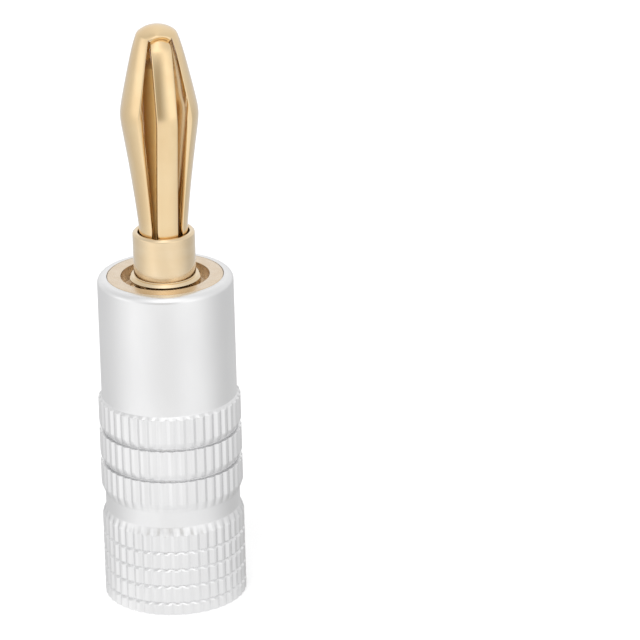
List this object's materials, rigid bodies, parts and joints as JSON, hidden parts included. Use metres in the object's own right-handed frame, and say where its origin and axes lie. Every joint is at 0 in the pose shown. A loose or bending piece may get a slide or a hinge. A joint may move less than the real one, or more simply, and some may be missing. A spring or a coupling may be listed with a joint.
{
  "type": "banana plug",
  "caption": "Straight banana plug with a knurled satin barrel, a screwed gold-plated pin with bulging spring leaves, and a rear cable hole.",
  "frame": {"origin": "centre of the barrel's rear face, on the axis", "axes": "+Z along the axis, from the rear face to the tip of the pin; the narrow spring leaves face -Y and +Y, the wide ones -X and +X"},
  "size_m": [0.0104, 0.0104, 0.044],
  "materials": {
    "satin_silver": "satin silver plating on turned brass",
    "gold_plate": "bright pale gold plating with fine turning lines"
  },
  "bodies": {
    "barrel": {"barrel": "satin_silver", "threaded_sleeve": "gold_plate"},
    "post": {"centre_post": "gold_plate"},
    "pin": {"pin_body": "gold_plate", "wide_spring_strip": "gold_plate", "narrow_spring_strip": "gold_plate"}
  },
  "joints": [
    {"name": "pin_travel", "type": "slide", "parent": "barrel", "child": "post", "axis": [0, 0, 1], "range_m": [-0.001, 0.0056]},
    {"name": "pin_turn", "type": "hinge", "parent": "post", "child": "pin", "pos_m": [0, 0, 0.025], "axis": [0, 0, 1], "range_deg": [-450, 2520]}
  ],
  "couplings": [
    {"joint": "pin_turn", "follows": "pin_travel", "rad_per_m": 7854}
  ]
}
